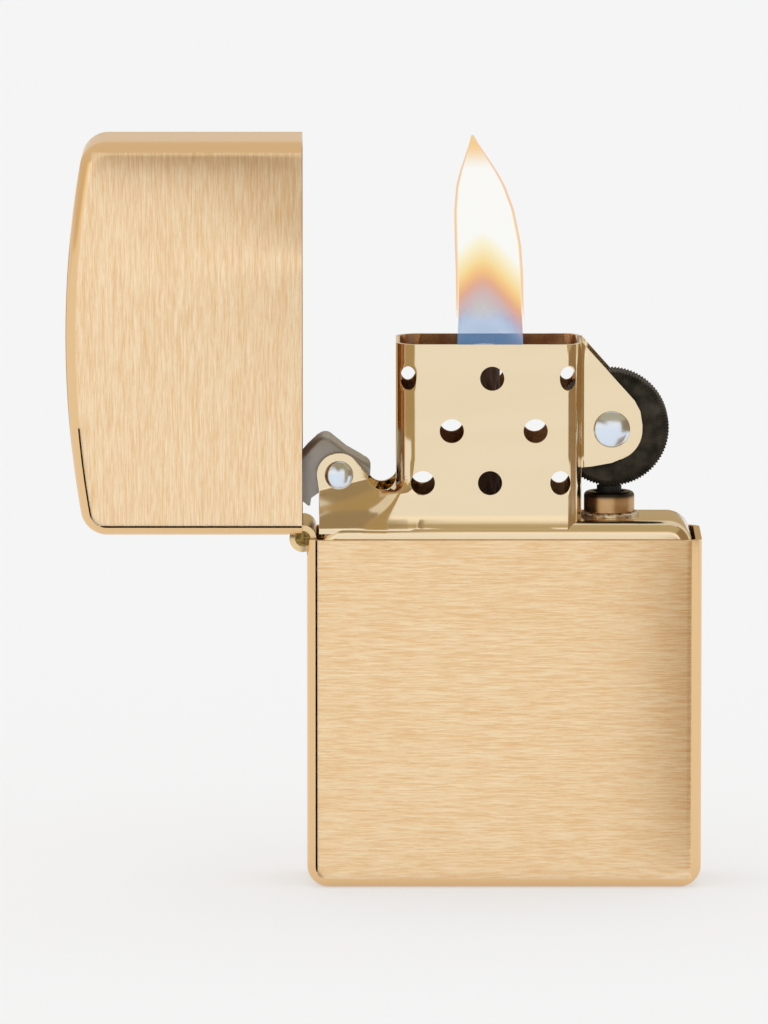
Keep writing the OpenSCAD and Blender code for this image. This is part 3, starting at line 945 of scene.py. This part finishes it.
sheared = Finish("sheared brass pin", Metallic=1.0)
torn = sheared.noise((2600, 900, 2600), detail=5.0, roughness=0.75, distortion=0.6)
tear, shine = (0.16, 0.09, 0.02, 1), (0.46, 0.34, 0.12, 1)
sheared.feed("Base Color", sheared.mix(torn.step(0.35, 0.65), tear, shine))
sheared.feed("Roughness", 0.3 + torn * 0.3)
sheared.feed("Normal", sheared.bump(torn, 0.0001, 0.8))
finish_node(sheared, "hinge_pin")

# ---- The flame ----
# The lighter stands lit. The flame sits on the wick, and moves with the insert.

# Up the flame: its height, its middle, and half its width
shape = [(52.0, -1.35, 3.45), (53.2, -1.35, 3.4), (54.4, -1.35, 3.35), (56.5, -1.4, 3.22)]
shape += [(59.5, -1.45, 3.2), (62.2, -1.6, 3.15), (65.4, -1.95, 2.85), (67.8, -2.3, 2.3)]
shape += [(69.2, -2.52, 1.72), (70.6, -2.75, 1.02), (71.9, -2.97, 0.36), (72.7, -3.1, 0.05)]
burn_low, burn_rise = 52.0, 11.5


def flame_piece(name, swell, flat_x, flat_y):
    """One body of the flame, closed at its tip: rings round the outline, wider by swell."""
    around, rings = 48, []
    for step in range(4 * (len(shape) - 1) + 1):
        i = min(step // 4, len(shape) - 2)
        share = step / 4 - i
        low, high = shape[i], shape[i + 1]
        z, x, half = (a + (b - a) * share for a, b in zip(low, high))
        rings.append((z + swell * ramp(z, 60, 73), x, half + swell))
    points = []
    for z, x, half in rings:
        wide, thick = max(half, 0.02) * flat_x, half * flat_y
        for i in range(around):
            turn = 2 * math.pi * i / around
            points.append((x + wide * math.cos(turn), thick * math.sin(turn), z))
    faces = patches(len(rings), around, closed=True)
    faces.append([(len(rings) - 1) * around + j for j in range(around)])
    obj = from_points(name, points, faces)
    use(obj, "SUBSURF", levels=1, render_levels=1)
    smooth(obj, 80)
    obj.visible_diffuse = False
    obj.visible_shadow = False
    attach(obj, "insert")
    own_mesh(obj)
    return obj


core = flame_piece("flame_core", 0.0, 0.93, 0.6)
black = (0, 0, 0, 1)
glow = Finish("flame core", Roughness=1.0, Specular_IOR_Level=0.0, Emission_Strength=1.0, Base_Color=black)
aside = glow.axis("X") + 2.1
height = glow.axis("Z") + (aside * aside + 1.5).maths("SQRT") * 1.3 - 1.6
heat = [(0.0, (0.05, 0.25, 0.53)), (0.36, (0.24, 0.38, 0.62)), (0.47, (0.50, 0.38, 0.48))]
heat += [(0.58, (0.76, 0.40, 0.28)), (0.67, (0.90, 0.55, 0.24)), (0.76, (0.93, 0.72, 0.34))]
heat += [(0.90, (0.95, 0.88, 0.62)), (1.0, (0.95, 0.945, 0.91))]
share = (height - burn_low) / burn_rise
burning = glow.node("ShaderNodeValToRGB", {"stops": heat}, {0: share}).outputs[0]
tip = glow.axis("Z").step(69.3, 72.0)
glow.feed("Emission Color", glow.mix(tip, burning, (0.92, 0.62, 0.28, 1)))
glow.feed("Alpha", 0.36 + height.step(55.0, 59.5) * 0.64)
glow.coat(core)
rims = [("flame_rim", 0.06, (0.90, 0.60, 0.40, 1), 0.03)]
rims += [("flame_fringe", -0.06, (0.95, 0.80, 0.48, 1), 0.05)]
for name, swell, colour, thin in rims:
    rim = flame_piece(name, swell, 1.0, thin)
    fringe = Finish(name, Roughness=1.0, Specular_IOR_Level=0.0, Emission_Strength=1.0, Base_Color=black)
    fringe.shader.inputs["Emission Color"].default_value = colour
    fringe.feed("Alpha", fringe.axis("Z").step(54.5, 58.0) * 0.9)
    fringe.coat(rim)

# ---- The floor and the light ----
# The lighter stands on a pale matt floor inside a white tent. What the brass reflects of the tent is
# tan, and whiter straight ahead at the lighter's own height.
bpy.ops.mesh.primitive_plane_add(size=8, location=(0, 0, 0))
floor = bpy.context.object
floor.name = "floor"
pale = Finish("pale floor", Roughness=0.9, Specular_IOR_Level=0.0, Emission_Strength=0.47)
pale.shader.inputs["Base Color"].default_value = (0.45, 0.45, 0.45, 1)
pale.shader.inputs["Emission Color"].default_value = (1, 1, 1, 1)
pale.coat(floor)

world = bpy.data.worlds.new("studio")
bpy.context.scene.world = world
world.use_nodes = True
tent = world.node_tree
looking = add_node(tent, "ShaderNodeTexCoord").outputs["Generated"]
way = add_node(tent, "ShaderNodeSeparateXYZ", inputs={0: looking})
tans = [(0.0, (0.74, 0.66, 0.54)), (0.35, (0.76, 0.70, 0.60))]
tans += [(0.8, (0.76, 0.72, 0.66)), (1.0, (0.74, 0.72, 0.68))]
walls = add_node(tent, "ShaderNodeValToRGB", {"stops": tans}, {0: way.outputs["Z"]}).outputs[0]
forward = Number(tent, way.outputs["Y"]).step(-0.3, -0.75)
level = Number(tent, way.outputs["Z"]).step(0.30, 0.12)
white_front, backdrop = (1.05, 1.0, 0.93, 1), (0.983, 0.983, 0.983, 1)
colours = {"data_type": "RGBA"}
blend = {"Factor": forward * level, 6: walls, 7: white_front}
mirrored = add_node(tent, "ShaderNodeMix", colours, blend).outputs[2]
glossy = add_node(tent, "ShaderNodeLightPath").outputs["Is Glossy Ray"]
blend = {"Factor": glossy, 6: backdrop, 7: mirrored}
seen = add_node(tent, "ShaderNodeMix", colours, blend).outputs[2]
tent.links.new(seen, tent.nodes["Background"].inputs["Color"])

# ---- The cards and flags ----
# Card and cloth round the lighter that are seen only in its reflections. Dark flags draw the thin
# lines along its rounded edges, and brown and tan cards tone the polished insert.


def card(name, rows, colour, body=None, folds=None):
    """A card from rows of points in millimetres, its colour and the body it moves with. If folds is given,
    the card only gets a mesh of its own."""
    points = [point for row in rows for point in row]
    obj = from_points(name, points, patches(len(rows), len(rows[0])))
    paper = Finish(name, Roughness=1.0, Specular_IOR_Level=0.0, Emission_Strength=1.0, Base_Color=black)
    paper.shader.inputs["Emission Color"].default_value = (*colour, 1)
    paper.coat(obj)
    obj.visible_camera = False
    obj.visible_diffuse = False
    obj.visible_shadow = False
    obj.visible_transmission = False
    if body:
        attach(obj, body)
    if folds:
        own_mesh(obj)


def standing(path, low, high):
    """Rows for a card that stands on a path of X and Y points, between two heights."""
    return [[(x, y, low), (x, y, high)] for x, y in path]


def edge_flag(name, outline, body=None):
    """A narrow flag that a rounded edge reflects as a thin dark line. The outline gives points on
    the edge and the way it faces, both in X and Z."""
    front_y, away, view_rise = -6.27, 1.6, 7
    rows = []
    for x, z, out_x, out_z in outline:
        row = []
        for turn in (39, 57):
            angle = math.radians(turn - view_rise * out_z)
            side, ahead = away * math.sin(angle), away * math.cos(angle)
            row.append((x + side * out_x, front_y - ahead, z + side * out_z))
        rows.append(row)
    card(name, rows, (0.0, 0.0, 0.0), body)


lid_side, bend_r = lid_low + 0.9, 1.2
bends = [i * math.pi / 16 for i in range(9)]
case_line = [(-18.2, 33.9, -1, 0), (-18.2, 20, -1, 0)]
for bend in bends[:7]:
    out_x, out_z = -math.cos(bend), -math.sin(bend)
    case_line.append((-17.0 + bend_r * out_x, 2.2 + bend_r * out_z, out_x, out_z))
edge_flag("case_flag", case_line)
lid_line = [(-19.6, lid_side, 0, -1), (-38.0, lid_side, 0, -1)]
for bend in bends:
    out_x, out_z = -math.sin(bend), -math.cos(bend)
    lid_line.append((-38.85 + bend_r * out_x, lid_side + bend_r * (1 + out_z), out_x, out_z))
lid_line += [(-40.3, 38, -1, 0), (-40.72, 41, -1, 0), (-41.1, 44.6, -1, 0)]
edge_flag("lid_flag", lid_line, "lid")

upward, forward_back = (0, 0, 1), (0, 1, 0)
# A brown card in front of the case's right edge
card("right_shade", standing([(17.2, -26), (36, -26)], -20, 33), (0.40, 0.29, 0.18))
# Brown cards beside the chimney's left corner, and a wide dark one far out on the right
corner, olive = [(-11.2, -10.0), (-13.6, -9.6), (-19.0, -6.6)], (0.42, 0.31, 0.15)
card("chimney_shade", standing(corner, 42.8, 56), olive, "insert", upward)
card("corner_shade", standing(corner[:2], 35, 42.9), olive, "insert", upward)
sweeps = [math.radians(24 + 11 * i) for i in range(8)]
circle = [(6 + 110 * math.sin(turn), -5 - 110 * math.cos(turn)) for turn in sweeps]
card("side_shade", standing(circle, 22, 220), (0.30, 0.20, 0.10))
# Tan cards lying over the front of the insert, for its rounded shoulders and its cheek
shoulder = [[(x, y, 62) for y in (-90, -7.5)] for x in (-9.8, 40)]
card("shoulder_shade", shoulder, (0.50, 0.41, 0.25), "insert", forward_back)
cheek_card = [[(x, y, 61), (-9.8, y, 61)] for y, x in ((-9.5, -18), (-40, -30), (-200, -30))]
card("cheek_shade", cheek_card, (0.33, 0.25, 0.15), "insert", forward_back)
# A narrow card along the open lid's upper edge, and a tan one behind the insert, for its shelf
card("lid_shade", standing([(-41, -18), (-19.6, -18)], 69.8, 73.4), (0.30, 0.2, 0.1), "lid")
card("shelf_shade", standing([(-90, 60), (90, 60)], 34, 58), (0.47, 0.36, 0.2), "insert", upward)
bpy.context.scene.view_settings.view_transform = "Standard"
